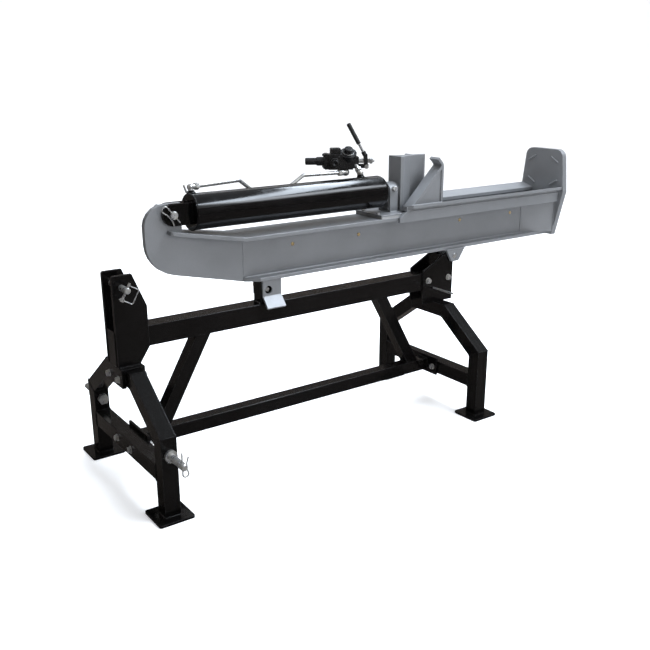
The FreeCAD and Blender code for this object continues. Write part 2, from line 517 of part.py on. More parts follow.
def build_slide(out):
    x0, x1 = SLIDE_X
    half = TOP_FLANGE_HALF - 0.7
    out["wear_pad"] = [box(x0, x1, -half, half, *PAD_Z)]
    out["slide_plate"] = [box(x0, x1, -half, half, *SLIDE_Z)]
    out["pad_screws"] = [hex_prism(13, 6, V(x, y, SLIDE_Z[1]), Z_AXIS)
                         for x in (x0 + 9, x1 - 9) for y in (-42, 42)]
    r_out, ax0, ax1 = 32.5, 1054.0, 1090.0
    arch = rod_x(r_out, ax0, ax1, 0, AXIS_Z).fuse(box(ax0, ax1, -r_out, r_out, SLIDE_Z[1], AXIS_Z))
    arch = arch.removeSplitter().cut(rod_x(ROD_R + FIT, ax0, ax1, 0, AXIS_Z))
    arch = arch.cut(box(ax0, ax1, -ROD_R - FIT, ROD_R + FIT, SLIDE_Z[1], AXIS_Z))
    lean = V(0, -math.sin(math.radians(75)), math.cos(math.radians(75)))
    centre = V((ax0 + ax1) / 2, 0, AXIS_Z)
    out["rod_arch"] = [arch.cut(Part.makeCylinder(5, 60, centre, lean))]
    out["rod_set_screw"] = [fuse([
        Part.makeCylinder(5, r_out - ROD_R + 4, centre + lean * (ROD_R + 0.1), lean),
        hex_prism(17, 9, centre + lean * (r_out + 0.1), lean)])]
    a, b, c, d = WEDGE_X
    w, t, edge = WEDGE_HALF, BLADE_HALF, 0.6
    near = [(a, -w), (a + 12, -w), (b, -t), (c, -t), (d, -edge)]
    out["wedge"] = [plate_xy(near + [(x, -y) for x, y in reversed(near)], SLIDE_Z[1], WEDGE_TOP)]


# ---------------------------------------------------------------- valve and pipework
def elbow(corner, r, ways):
    """Round corner with a leg along each (direction, length), and a hex nut on the last leg."""
    parts = [Part.makeSphere(r + 2, corner)]
    for way, length in ways:
        parts.append(Part.makeCylinder(r, length, corner, way))
    way, length = ways[-1]
    parts.append(hex_prism(20, 13, corner + way * length, way))
    return fuse(parts)


def build_valve(out):
    turn = FreeCAD.Placement(VALVE_AT, FreeCAD.Rotation(Z_AXIS, VALVE_TURN))

    def placed(shape):
        shape = shape.copy()
        shape.Placement = turn.multiply(shape.Placement)
        return shape

    # pipework: a steel line from the base port to the valve, and a leaning stub from the rod port
    up = port_way()
    port_a, port_b = (V(x, 0, AXIS_Z) + up * BOSS_TOP for x in PORT_X)
    bends = [V(492, 72, 925), V(548, 80, 884), V(690, 82, 884), V(752, 80, 921.5)]
    corner_a = V(port_a.x, port_a.y + 2.5, bends[0].z)
    corner_b, corner_c = V(922, 60, bends[-1].z), V(port_b.x, port_b.y + 1.5, port_b.z + 8)
    way_a, way_b = (bends[0] - corner_a).normalize(), (bends[-1] - corner_b).normalize()
    leg = 18.0
    first = elbow(corner_a, 8, [(-up, (corner_a - port_a).dot(up)), (way_a, leg)])
    last = elbow(corner_b, 11, [(V(0, 0.6, 0.8), 28), (way_b, leg)])
    bleed = Part.makeCylinder(3, 26, V(PORT_X[0] - BOSS_R - 4, 14, port_a.z - 4), V(-0.34, 0, 0.94))
    stub_way = V(0, 0.72, 0.694)
    stub = fuse([Part.makeCylinder(9.5, 8, port_b, up), Part.makeSphere(12, corner_c),
                 Part.makeCylinder(8.5, 40, corner_c, stub_way),
                 hex_prism(21, 10, corner_c + stub_way * 10, stub_way)])
    below = box(200, 1100, -200, 200, 700, port_a.z).common(
        Part.makeCylinder(200, BOSS_TOP, V(PORT_X[0], 0, AXIS_Z), up))
    first = first.cut(below)
    stub = stub.cut(Part.makeCylinder(60, 40, port_b - up * 40, up))
    run = [corner_a + way_a * (leg + 4)] + bends + [corner_b + way_b * (leg + 4)]
    pipe = swept(run, 20, PIPE_R)
    out["pressure_pipe"] = [pipe]
    fittings = [first.cut(pipe), last.cut(pipe), stub, bleed]
    out["pipe_fittings"] = fittings

    cap_at, cap_way = V(42, -2, 8), V(0, -0.5, 0.866)
    top_at = cap_at + cap_way * 26
    knob = fuse([Part.makeCylinder(20, 6, top_at, cap_way), Part.makeCylinder(16, 19, top_at, cap_way)])
    crown = [e for e in knob.Edges if e.CenterOfMass.distanceToPoint(top_at + cap_way * 19) < 1]
    knob = knob.makeFillet(5, crown)
    out["relief_cap"] = [placed(knob)]
    casting = fuse([box(-29, 58, -30, 30, -28, 25), box(56, 80, -19, 19, -25, 15),
                    Part.makeCylinder(30, 26, cap_at, cap_way),
                    box(-21, 16, -16, 22, 20, 46), Part.makeCylinder(15, 36, V(8, 26, -2), Y_AXIS),
                    Part.makeCylinder(17, 16, V(-8, -28, -4), -Y_AXIS)])
    top = [e for e in casting.Edges if e.BoundBox.ZMin > 45.9]
    casting = casting.makeFillet(4, top).cut(knob)
    for y in (-1, 1):
        y0, y1 = sorted((y * 9.2, y * 13.2))
        casting = casting.fuse(box(70, LEVER_X + 8, y0, y1, -25, -12))
    casting = casting.removeSplitter().cut(rod_x(SPOOL_R + FIT, -29, 90, 0, 0))
    casting = casting.cut(rod_y(LEVER_PIN_R + FIT, LEVER_X, LEVER_Z, -30, 30))
    casting = casting.cut(Part.makeCylinder(10.5, 30, V(8, 63, -2), -Y_AXIS))
    casting = casting.cut(Part.makeCylinder(10.5, 24, V(-2, 3, 47), -Z_AXIS))
    body = placed(casting)
    for piece in fittings[1:3]:
        body = body.cut(piece)
    out["valve_casting"] = [max(body.Solids, key=lambda s: s.Volume)]

    flange_x, step_x, tip_x = -43.0, -70.0, -111.0
    detent = fuse([rod_x(15.6, step_x, flange_x, 0, 0), rod_x(12.5, tip_x, step_x, 0, 0),
                   box(flange_x, -29, -27, 27, -27, 27)])
    nose = [e for e in detent.Edges if abs(e.BoundBox.XMax - tip_x) < 0.1]
    detent = detent.makeFillet(4, nose).cut(rod_x(SPOOL_R + FIT, tip_x + 8, -29, 0, 0))
    out["detent_housing"] = [placed(detent)]

    # spool with a flat tang that is slotted for the fork's cross pin, and a stud with a nut beyond it
    cross_r, slack, tang = 3.0, 0.4, 4.0
    stud_x = LEVER_X + 14
    spool = fuse([rod_x(SPOOL_R, -90, 96, 0, 0), box(95, stud_x, -tang, tang, -7.2, 7.2),
                  rod_x(5, stud_x - 2, stud_x + 16, 0, 0), hex_prism(19, 9, V(stud_x, 0, 0), X_AXIS)])
    slot = box(LEVER_X - cross_r - slack, LEVER_X + cross_r + slack, -20, 20, -2, 0).fuse(
        [rod_y(cross_r + slack, LEVER_X, h, -20, 20) for h in (-2, 0)])
    out["spool"] = [placed(spool.cut(slot))]

    # forked lever: black fork on the pivot pin, zinc rod screwed into its bridge, rubber grip
    bridge_z, fork_y, rod_r = (14.0, 24.0), (4.5, 8.7), 4.8
    cheeks = []
    for y in (-1, 1):
        y0, y1 = sorted((y * fork_y[0], y * fork_y[1]))
        cheeks.append(plate_xz([(LEVER_X - 7, LEVER_Z), (LEVER_X + 7, LEVER_Z),
                                (LEVER_X + 4, bridge_z[1]), (LEVER_X - 9, bridge_z[1])], y0, y1))
        cheeks.append(rod_y(7, LEVER_X, LEVER_Z, y0, y1))
    hub = V(LEVER_X - 3, 0, sum(bridge_z) / 2 - 1)
    grip_at, tip = hub + LEVER_UP * 48, hub + LEVER_UP * 128
    rod = Part.makeCylinder(rod_r, 120, hub, LEVER_UP)
    fork = fuse(cheeks + [box(LEVER_X - 9, LEVER_X + 4, -fork_y[1], fork_y[1], *bridge_z),
                          Part.makeCylinder(8, 14, hub + LEVER_UP * 2, LEVER_UP),
                          rod_y(cross_r, LEVER_X, 0, -fork_y[1], fork_y[1])])
    fork = fork.cut(rod_y(LEVER_PIN_R, LEVER_X, LEVER_Z, -20, 20)).cut(rod)
    pin = fuse([rod_y(LEVER_PIN_R, LEVER_X, LEVER_Z, -15, 15),
                rod_y(LEVER_PIN_R + 3, LEVER_X, LEVER_Z, -17.5, -15)])
    grip = Part.makeCylinder(7.6, (tip - grip_at).Length, grip_at, LEVER_UP).cut(rod)
    crown = [e for e in grip.Edges if e.CenterOfMass.distanceToPoint(tip) < 1 and e.Length > 40]
    out["lever_fork"] = [placed(fork)]
    out["lever"] = [placed(rod), placed(pin)]
    out["lever_grip"] = [placed(grip.makeFillet(3, crown))]


def finish(out):
    xs = []
    for solids in out.values():
        for s in solids:
            xs += [s.BoundBox.XMin, s.BoundBox.XMax]
    shift = V(-(min(xs) + max(xs)) / 2, 0, 0)
    os.makedirs("parts", exist_ok=True)
    for name, solids in out.items():
        shape = solids[0] if len(solids) == 1 else Part.makeCompound(solids)
        shape = shape.copy()
        shape.translate(shift)
        shape.exportStep("parts/" + name + ".step")
    print("shift", round(shift.x, 3), "nodes", len(out))


parts = {}
build_stand(parts)
build_hitch_hardware(parts)
build_beam(parts)
build_cylinder(parts)
build_slide(parts)
build_valve(parts)
finish(parts)
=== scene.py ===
import json
import math

import bpy
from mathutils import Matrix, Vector


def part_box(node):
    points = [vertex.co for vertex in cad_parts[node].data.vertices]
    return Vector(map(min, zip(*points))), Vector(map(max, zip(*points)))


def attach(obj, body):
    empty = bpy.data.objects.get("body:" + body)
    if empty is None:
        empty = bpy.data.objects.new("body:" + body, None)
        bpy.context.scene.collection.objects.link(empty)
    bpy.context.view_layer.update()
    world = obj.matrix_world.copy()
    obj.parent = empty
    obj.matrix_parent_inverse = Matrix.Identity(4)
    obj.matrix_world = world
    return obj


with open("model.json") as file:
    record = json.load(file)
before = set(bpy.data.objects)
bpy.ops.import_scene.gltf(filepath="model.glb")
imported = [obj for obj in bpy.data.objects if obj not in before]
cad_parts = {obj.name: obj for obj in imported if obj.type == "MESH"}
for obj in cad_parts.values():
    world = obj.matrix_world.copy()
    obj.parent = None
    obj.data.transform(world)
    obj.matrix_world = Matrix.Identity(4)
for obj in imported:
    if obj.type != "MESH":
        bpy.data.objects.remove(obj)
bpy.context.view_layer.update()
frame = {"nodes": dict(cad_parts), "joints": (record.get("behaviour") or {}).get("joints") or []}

# Looks of the tractor-mounted log splitter: paint, plating and rubber on every CAD node, and the
# small pieces that the CAD leaves to this file, such as weld beads, seals, rings and cap screws.
# Metres, in the frame of the CAD: +X to the foot plate, +Y to the far side, origin on the floor.

NODES = frame["nodes"]
MM = 0.001

# places that the boxes of the CAD nodes don't give
ROW_SHIFT = -956.5 * MM                             # the drawing's X zero, at the hitch end of the legs
TUBE = 50 * MM                                      # square tube of the stand
BRACE_LEAN = 0.565                                  # sideways run of a brace for each unit of rise
BRACE_HALF_X = 22.5 * MM * math.hypot(1, BRACE_LEAN)  # half its length along the rail where it is cut
LATCH_LIP = 29 * MM                                 # how far the latch plate's lip stands off its plate
KEEPER_INNER_Y = 51 * MM                            # inner edge of the keeper plates
STRIPPER_SEAT_Z = 791 * MM                          # top of the keeper plates at that edge
PORT_LEAN = math.radians(16)                        # the cylinder's ports lean to the far side
BASE_PORT_IN, GLAND_PORT_IN = 12.5 * MM, 50 * MM    # from the barrel's two ends to its ports
VALVE_TURN = math.radians(-30)                      # turn of the valve about the vertical
LEVER_ALONG, LEVER_DROP = 108 * MM, 20 * MM         # lever pivot, from the valve's middle
WEB_HOLES_X, WEB_HOLE_Z = (645, 929, 1432, 1720), 707 * MM
EDGE_HIGHLIGHT = 0.5                                     # share of the lighter colour painted along an edge as a highlight


# ---------------------------------------------------------------- materials
class Finish:
    """A node material with helpers for the textures that every finish here is made of."""

    def __init__(self, name):
        self.material = bpy.data.materials.new(name)
        self.material.use_nodes = True
        self.tree = self.material.node_tree
        self.tree.nodes.clear()
        self.shader = self.add("ShaderNodeBsdfPrincipled")
        output = self.add("ShaderNodeOutputMaterial")
        self.link(self.shader.outputs[0], output.inputs[0])
        self.where = self.add("ShaderNodeTexCoord").outputs["Object"]

    def add(self, kind, **values):
        node = self.tree.nodes.new(kind)
        for name, value in values.items():
            setattr(node, name, value)
        return node

    def link(self, start, end):
        self.tree.links.new(start, end)

    def noise(self, scale, detail=3.0, roughness=0.55, stretch=None):
        node = self.add("ShaderNodeTexNoise")
        node.inputs["Scale"].default_value = scale
        node.inputs["Detail"].default_value = detail
        node.inputs["Roughness"].default_value = roughness
        source = self.where
        if stretch:
            mapping = self.add("ShaderNodeMapping")
            mapping.inputs["Scale"].default_value = stretch
            self.link(source, mapping.inputs["Vector"])
            source = mapping.outputs[0]
        self.link(source, node.inputs["Vector"])
        return node.outputs["Fac"]

    def cells(self, scale):
        node = self.add("ShaderNodeTexVoronoi")
        node.inputs["Scale"].default_value = scale
        self.link(self.where, node.inputs["Vector"])
        return node.outputs["Distance"], node.outputs["Color"]

    def ranged(self, value, low, high, to_low, to_high):
        node = self.add("ShaderNodeMapRange")
        for index, number in zip((1, 2, 3, 4), (low, high, to_low, to_high)):
            node.inputs[index].default_value = number
        self.link(value, node.inputs[0])
        return node.outputs[0]

    def maths(self, operation, first, second):
        node = self.add("ShaderNodeMath", operation=operation)
        for socket, value in zip(node.inputs, (first, second)):
            if isinstance(value, (int, float)):
                socket.default_value = value
            else:
                self.link(value, socket)
        return node.outputs[0]

    def blended(self, factor, first, second):
        node = self.add("ShaderNodeMix", data_type="RGBA")
        self.link(factor, node.inputs[0])
        for index, value in ((6, first), (7, second)):
            if isinstance(value, tuple):
                node.inputs[index].default_value = (*value, 1.0)
            else:
                self.link(value, node.inputs[index])
        return node.outputs[2]

    def rounded(self, radius):
        """Shading normal that rounds every edge, and a mask that is 1 on the edges and 0 on flats."""
        bevel = self.add("ShaderNodeBevel", samples=4)
        bevel.inputs["Radius"].default_value = radius
        flat = self.add("ShaderNodeNewGeometry").outputs["Normal"]
        dot = self.add("ShaderNodeVectorMath", operation="DOT_PRODUCT")
        self.link(bevel.outputs[0], dot.inputs[0])
        self.link(flat, dot.inputs[1])
        return bevel.outputs[0], self.ranged(dot.outputs["Value"], 0.80, 0.985, 1.0, 0.0)

    def bumped(self, height, strength, distance, normal=None):
        node = self.add("ShaderNodeBump")
        node.inputs["Strength"].default_value = strength
        node.inputs["Distance"].default_value = distance
        self.link(height, node.inputs["Height"])
        if normal is not None:
            self.link(normal, node.inputs["Normal"])
        return node.outputs[0]

    def set(self, **values):
        names = {"colour": "Base Color", "metallic": "Metallic", "roughness": "Roughness",
                 "normal": "Normal", "glint": "Specular IOR Level"}
        for key, value in values.items():
            socket = self.shader.inputs[names[key]]
            if isinstance(value, (int, float)):
                socket.default_value = value
            elif isinstance(value, tuple):
                socket.default_value = (*value, 1.0)
            else:
                self.link(value, socket)


def painted(name, deep, pale, edge, gloss, peel, corner, metallic=0.0, glint=0.5, flake=0.0):
    """Sprayed paint: slow colour drift, orange peel, dust nibs and a painted highlight: lighter colour
    along the edges.
    """
    f = Finish(name)
    normal, edges = f.rounded(corner)
    drift = f.ranged(f.noise(6.0, 4.0), 0.35, 0.65, 0.0, 1.0)
    colour = f.blended(drift, deep, pale)
    scuff = f.ranged(f.noise(38.0, 6.0, 0.7), 0.52, 0.66, 0.0, 1.0)
    # painted highlight: the edges, broken up by noise, take the lighter edge colour
    edge_highlight = f.maths("MULTIPLY", edges, f.ranged(f.noise(90.0, 4.0), 0.40, 0.62, 0.15, 1.0))
    colour = f.blended(f.maths("MULTIPLY", edge_highlight, EDGE_HIGHLIGHT), colour, edge)
    if flake:
        speck = f.ranged(f.cells(1500.0)[1], 0.2, 0.9, 0.0, flake)
        colour = f.blended(speck, colour, tuple(min(1.0, 1.5 * c) for c in pale))
    rough = f.maths("ADD", f.ranged(f.noise(14.0, 5.0), 0.3, 0.7, gloss, gloss + 0.10),
                    f.maths("MULTIPLY", scuff, 0.06))
    nibs = f.ranged(f.cells(260.0)[0], 0.0, 0.11, 1.0, 0.0)
    height = f.maths("ADD", f.noise(330.0, 2.0, 0.4), f.maths("MULTIPLY", nibs, 0.35))
    skin = f.bumped(height, peel, 0.35 * MM, normal)
    f.set(colour=colour, roughness=rough, metallic=metallic, normal=skin, glint=glint)
    return f.material


def plated(name, base, tint, gloss, spangle):
    """Zinc or nickel plating over machined steel: faint coloured clouding, grain and a painted highlight of
    near white along the edges.
    """
    f = Finish(name)
    normal, edges = f.rounded(0.6 * MM)
    cloud = f.ranged(f.noise(55.0, 5.0), 0.35, 0.65, 0.0, 1.0)
    colour = f.blended(cloud, base, tint)
    # painted highlight: near-white colour along the edges
    colour = f.blended(f.maths("MULTIPLY", edges, 0.5), colour, (0.95, 0.95, 0.94))
    grain = f.noise(700.0, 3.0, 0.6)
    rough = f.maths("ADD", f.ranged(cloud, 0.0, 1.0, gloss, gloss + 0.12),
                    f.ranged(f.noise(160.0, 4.0), 0.4, 0.7, 0.0, 0.08))
    f.set(colour=colour, metallic=0.86, roughness=rough, glint=0.6,
          normal=f.bumped(grain, spangle, 0.12 * MM, normal))
    return f.material


def ground_chrome():
    """Hard chrome on the rod: mirror polish with fine grinding lines round the rod."""
    f = Finish("rod_chrome_finish")
    normal, _ = f.rounded(0.5 * MM)
    lines = f.noise(60.0, 4.0, 0.6, stretch=(60.0, 1.0, 1.0))
    smear = f.ranged(f.noise(9.0, 5.0), 0.4, 0.7, 0.05, 0.14)
    f.set(colour=f.blended(f.noise(20.0), (0.78, 0.79, 0.81), (0.86, 0.87, 0.88)), metallic=1.0,
          roughness=smear, normal=f.bumped(lines, 0.10, 0.05 * MM, normal))
    return f.material


def cast_black():
    """Semi-gloss black over sand-cast iron: grainy skin under the paint, smoother on the corners, which are
    painted lighter as a highlight.
    """
    f = Finish("valve_black_finish")
    normal, edges = f.rounded(1.2 * MM)
    skin = f.maths("ADD", f.noise(420.0, 5.0, 0.65), f.maths("MULTIPLY", f.noise(95.0, 3.0), 1.6))
    drift = f.ranged(f.noise(25.0, 4.0), 0.35, 0.65, 0.0, 1.0)
    colour = f.blended(drift, (0.0045, 0.0045, 0.0050), (0.0085, 0.0085, 0.0092))
    # painted highlight: lighter grey along the corners
    colour = f.blended(f.maths("MULTIPLY", edges, 0.45), colour, (0.075, 0.073, 0.070))
    f.set(colour=colour, roughness=f.ranged(f.noise(60.0, 4.0), 0.3, 0.7, 0.22, 0.36),
          normal=f.bumped(skin, 0.55, 0.45 * MM, normal), glint=0.6)
    return f.material


def machined_steel():
    """Bare turned steel with an oil film."""
    f = Finish("bare_steel_finish")
    normal, _ = f.rounded(0.5 * MM)
    rings = f.noise(40.0, 3.0, 0.5, stretch=(45.0, 1.0, 1.0))
    colour = f.blended(f.noise(30.0, 4.0), (0.42, 0.41, 0.40), (0.56, 0.55, 0.53))
    f.set(colour=colour, metallic=1.0, roughness=f.ranged(f.noise(25.0), 0.3, 0.7, 0.22, 0.38),
          normal=f.bumped(rings, 0.3, 0.08 * MM, normal))
    return f.material


def rubbery(name, deep, pale, rough, grain):
    """Moulded rubber or plastic: fine leathery grain, patches of dust, and a painted highlight of lighter
    colour along the edges.
    """
    f = Finish(name)
    normal, edges = f.rounded(0.8 * MM)
    dust = f.ranged(f.noise(70.0, 5.0, 0.7), 0.45, 0.75, 0.0, 1.0)
    colour = f.blended(dust, deep, pale)
    # painted highlight: lighter colour along the edges
    colour = f.blended(f.maths("MULTIPLY", edges, 0.3), colour, tuple(min(1.0, 1.8 * c) for c in pale))
    f.set(colour=colour, roughness=f.ranged(dust, 0.0, 1.0, rough, rough + 0.15),
          normal=f.bumped(f.cells(900.0)[0], grain, 0.2 * MM, normal))
    return f.material


FINISHES = {
    "black_enamel": painted("black_enamel_finish", (0.0016, 0.0015, 0.0015), (0.0030, 0.0028, 0.0027),
                            (0.050, 0.050, 0.054), 0.10, 0.13, 4.0 * MM, glint=0.30),
    "cylinder_black": painted("cylinder_black_finish", (0.0010, 0.0010, 0.0011), (0.0018, 0.0018, 0.0020),
                              (0.040, 0.040, 0.046), 0.06, 0.04, 2.0 * MM, glint=0.36),
    "silver_paint": painted("silver_paint_finish", (0.178, 0.183, 0.190), (0.200, 0.205, 0.213),
                            (0.50, 0.51, 0.53), 0.30, 0.18, 2.6 * MM, metallic=0.45, flake=0.30),
    "zinc_plate": plated("zinc_plate_finish", (0.46, 0.47, 0.49), (0.60, 0.59, 0.55), 0.22, 0.20),
    "valve_black": cast_black(),
    "rod_chrome": ground_chrome(),
    "bare_steel": machined_steel(),
    "grip_rubber": rubbery("grip_rubber_finish", (0.006, 0.006, 0.006), (0.016, 0.016, 0.016), 0.42, 0.35),
    "wear_plastic": rubbery("wear_plastic_finish", (0.20, 0.20, 0.20), (0.27, 0.27, 0.26), 0.40, 0.10),
}


def repaint_nodes():
    """Every CAD node takes the finish that is named like its slot in the record."""
    for node in NODES.values():
        for place in node.material_slots:
            place.material = FINISHES[place.material.name.split(".")[0]]


# ---------------------------------------------------------------- mesh helpers
def piece(name, verts, faces, body, slot_name):
    """One new mesh that rides on a body and carries a slot's finish."""
    mesh = bpy.data.meshes.new(name)
    mesh.from_pydata(verts, [], faces)
    mesh.validate()
    mesh.polygons.foreach_set("use_smooth", [True] * len(mesh.polygons))
    mesh.materials.append(FINISHES[slot_name])
    made = bpy.data.objects.new(name, mesh)
    bpy.context.scene.collection.objects.link(made)
    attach(made, body)
    return made


def across(direction):
    """Two unit vectors square to a direction and to each other."""
    d = direction.normalized()
    helper = Vector((0, 0, 1)) if abs(d.z) < 0.9 else Vector((1, 0, 0))
    u = d.cross(helper).normalized()
    return u, d.cross(u)


def even_steps(path, step):
    """Points along a path of straight runs, about a step apart, corners kept."""
    points = []
    for start, end in zip(path, path[1:]):
        count = max(1, round((end - start).length / step))
        points += [start.lerp(end, i / count) for i in range(count)]
    return points + [path[-1]]


RING_SIDES = 8


def add_bead(verts, faces, path, radius, pitch):
    """A run of weld: a round bar whose girth swells once per pitch, with rounded ends."""
    points = even_steps(path, pitch / 4)
    closed = (path[0] - path[-1]).length < 1e-6
    if closed:
        points = points[:-1]
    count, first = len(points), len(verts)
    travelled = 0.0
    for i, point in enumerate(points):
        ahead = points[(i + 1) % count] if closed or i + 1 < count else point
        behind = points[i - 1] if closed or i else point
        u, v = across(ahead - behind)
        travelled += (point - behind).length if i else 0.0
        wave = (travelled / pitch) % 1.0
        girth = radius * (0.86 + 0.14 * math.sqrt(1 - wave))
        if not closed:
            end = min(travelled, (len(points) - 1) * pitch / 4 - travelled)
            girth *= min(1.0, math.sqrt(max(0.05, end / radius)))
        for k in range(RING_SIDES):
            turn = 2 * math.pi * k / RING_SIDES
            verts.append(point + (u * math.cos(turn) + v * math.sin(turn)) * girth)
    rings = count if closed else count - 1
    for i in range(rings):
        a, b = first + i * RING_SIDES, first + (i + 1) % count * RING_SIDES
        for k in range(RING_SIDES):
            n = (k + 1) % RING_SIDES
            faces.append((a + k, a + n, b + n, b + k))
    if not closed:
        faces.append(tuple(first + k for k in reversed(range(RING_SIDES))))
        faces.append(tuple(first + (count - 1) * RING_SIDES + k for k in range(RING_SIDES)))


def welds(name, paths, radius, body, slot_name, pitch=3.6 * MM):
    verts, faces = [], []
    for path in paths:
        add_bead(verts, faces, [Vector(p) for p in path], radius, pitch)
    return piece(name, verts, faces, body, slot_name)


def lathe(verts, faces, profile, at, direction, sides=40):
    """Closed ring profile of (distance along, radius) turned about an axis."""
    u, v = across(direction)
    d, first, count = direction.normalized(), len(verts), len(profile)
    for i in range(sides):
        turn = 2 * math.pi * i / sides
        out = u * math.cos(turn) + v * math.sin(turn)
        verts.extend(at + d * along + out * radius for along, radius in profile)
    for i in range(sides):
        a, b = first + i * count, first + (i + 1) % sides * count
        for k in range(count):
            n = (k + 1) % count
            faces.append((a + k, b + k, b + n, a + n))


def turned(name, spots, profile, body, slot_name, sides=40):
    """The same turned ring at every (place, direction)."""
    verts, faces = [], []
    for at, direction in spots:
        lathe(verts, faces, profile, Vector(at), Vector(direction), sides)
    return piece(name, verts, faces, body, slot_name)


def ring_profile(inner, outer, height, edge):
    """Rectangular section with broken corners, from 0 to height along the axis."""
    return [(0.0, inner), (0.0, outer - edge), (edge, outer), (height - edge, outer),
            (height, outer - edge), (height, inner)]


def upright_ring(x, axis_z, radius, sides):
    """Closed path round the beam's axis, square to it."""
    turns = [2 * math.pi * i / sides for i in range(sides + 1)]
    return [(x, radius * math.cos(turn), axis_z + radius * math.sin(turn)) for turn in turns]


def both(paths):
    """The paths and their mirror images on the far side."""
    return paths + [[(x, -y, z) for x, y, z in path] for path in paths]


def rectangle(x0, x1, y0, y1, z0, z1):
    """Closed path round a rectangle; one of the three spans is zero and gives its plane."""
    if x0 == x1:
        return [(x0, y0, z0), (x0, y1, z0), (x0, y1, z1), (x0, y0, z1), (x0, y0, z0)]
    if y0 == y1:
        return [(x0, y0, z0), (x1, y0, z0), (x1, y0, z1), (x0, y0, z1), (x0, y0, z0)]
    return [(x0, y0, z0), (x1, y0, z0), (x1, y1, z0), (x0, y1, z0), (x0, y0, z0)]


# ---------------------------------------------------------------- welds on the stand
def stand_welds():
    legs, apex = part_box("legs"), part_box("apex_tubes")
    pads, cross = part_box("foot_pads"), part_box("cross_tubes")
    half, top_z = -legs[0].y, apex[1].z
    apex_half = -apex[0].y
    rake = math.atan2(top_z - legs[1].z, half - apex_half)
    knee_in = (half - TUBE, legs[1].z - TUBE * math.tan((math.pi / 2 - rake) / 2))
    apex_in = (apex_half - TUBE * math.tan(rake / 2), top_z - TUBE)
    knee_out, apex_out = (half, legs[1].z), (apex_half, top_z)
    feet, seams = [], []
    for x0 in (legs[0].x, legs[1].x - TUBE):
        x1 = x0 + TUBE
        feet += both([rectangle(x0, x1, -half, -half + TUBE, pads[1].z, pads[1].z)])
        feet += both([rectangle(x0, x1, -half + TUBE, -half + TUBE, cross[0].z, cross[1].z)])
        for outer, inner in ((knee_out, knee_in), (apex_out, apex_in)):
            seams += both([[(x0, -outer[0], outer[1]), (x0, -inner[0], inner[1]), (x1, -inner[0], inner[1]),
                            (x1, -outer[0], outer[1]), (x0, -outer[0], outer[1])]])
    welds("weld_feet_and_cross_tubes", feet, 3.0 * MM, "stand", "black_enamel")
    welds("weld_tube_mitres", seams, 1.9 * MM, "stand", "black_enamel")


def rail_welds():
    top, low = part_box("top_rail"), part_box("lower_rail")
    braces, post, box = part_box("braces"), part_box("rest_post"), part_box("mast_box")
    cheeks, saddle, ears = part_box("mast_cheeks"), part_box("mast_saddle"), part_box("pivot_plates")
    runs = [rectangle(x, x, low[0].y, low[1].y, low[0].z, low[1].z) for x in (low[0].x, low[1].x)]
    runs.append(rectangle(post[0].x, post[1].x, post[0].y, post[1].y, post[0].z, post[0].z))
    # the braces lean away from each other towards the ends of the lower rail
    half, wide = braces[1].y, BRACE_HALF_X
    rise = top[0].z - low[1].z
    for side in (0, 1):
        foot = braces[side].x - wide * (2 * side - 1)
        head = foot - (2 * side - 1) * rise * BRACE_LEAN
        for x, z in ((foot, low[1].z), (head, top[0].z)):
            runs.append(rectangle(x - wide, x + wide, -half, half, z, z))
    welds("weld_rails_and_braces", runs, 2.8 * MM, "stand", "black_enamel")

    inner = box[1].y
    outer = cheeks[1].y
    mast = [[(box[0].x, -inner, box[0].z), (box[0].x, -inner, box[1].z)],
            [(box[0].x, -outer, saddle[1].z), (cheeks[0].x + 70 * MM, -outer, saddle[1].z)],
            [(top[0].x, -top[1].y, top[1].z), (cheeks[1].x, -top[1].y, top[1].z)],
            [(cheeks[1].x, -inner, top[0].z + 8 * MM), (cheeks[1].x, -inner, top[1].z)]]
    ear_y = top[1].y
    mast += [[(ears[0].x, -ear_y, top[0].z), (ears[0].x, -ear_y, top[1].z)],
             [(ears[0].x + 60 * MM, -ear_y, top[0].z), (top[1].x, -ear_y, top[0].z)]]
    welds("weld_mast_and_pivot_plates", both(mast), 2.8 * MM, "stand", "black_enamel")


